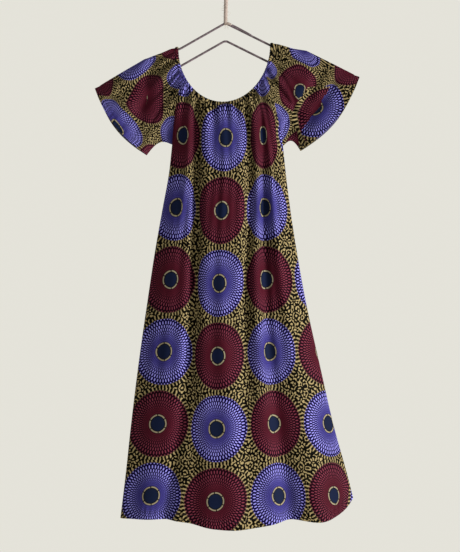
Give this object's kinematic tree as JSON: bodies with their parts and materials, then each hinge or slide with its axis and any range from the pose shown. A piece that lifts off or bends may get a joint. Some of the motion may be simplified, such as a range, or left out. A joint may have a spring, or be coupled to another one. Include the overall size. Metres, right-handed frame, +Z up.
{
  "type": "off-shoulder wax print maxi dress on a wrapped wire hanger",
  "caption": "Gathered scoop-neck maxi dress with short flared raglan sleeves and a disc print, hung on a wrapped wire hanger by its hook.",
  "frame": {"origin": "inner top of the hanger's hook, where a nail, rod or wall hook carries it", "axes": "+Z up, -Y towards the front of the dress, +X to the viewer's right when looking at the front"},
  "size_m": [0.6936, 0.108, 1.4438],
  "materials": {
    "wax_print": "matte printed cotton with a faint calendered sheen",
    "yarn_wrap": "mottled dark yarn wound over wire",
    "twine_wrap": "natural jute twine wound over wire"
  },
  "bodies": {
    "root": {"front_panel": "wax_print", "back_panel": "wax_print", "sleeve_left": "wax_print", "sleeve_right": "wax_print", "neck_casing": "wax_print", "hanger_frame": "yarn_wrap", "hanger_hook": "twine_wrap"}
  },
  "joints": []
}
